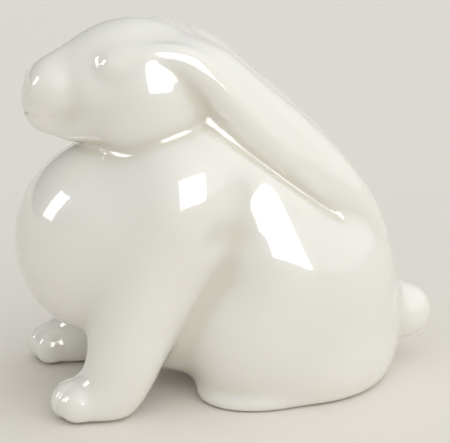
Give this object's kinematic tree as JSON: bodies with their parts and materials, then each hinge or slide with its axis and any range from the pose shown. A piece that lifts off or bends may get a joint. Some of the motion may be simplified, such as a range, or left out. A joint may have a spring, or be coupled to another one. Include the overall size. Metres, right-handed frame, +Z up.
{
  "type": "rabbit figurine",
  "caption": "Small glazed porcelain rabbit sitting up on its forepaws with long ears laid back over its shoulders and a round tail, for a shelf or table",
  "frame": {"origin": "centre of the bounding box's bottom face, on the surface that the rabbit stands on", "axes": "+Z up, the rabbit faces -Y, its left side is +X, and X = 0 is its plane of symmetry"},
  "size_m": [0.0562, 0.1016, 0.0907],
  "materials": {
    "porcelain": "clear gloss glaze over warm white porcelain"
  },
  "bodies": {
    "root": {"rabbit": "porcelain"}
  },
  "joints": []
}
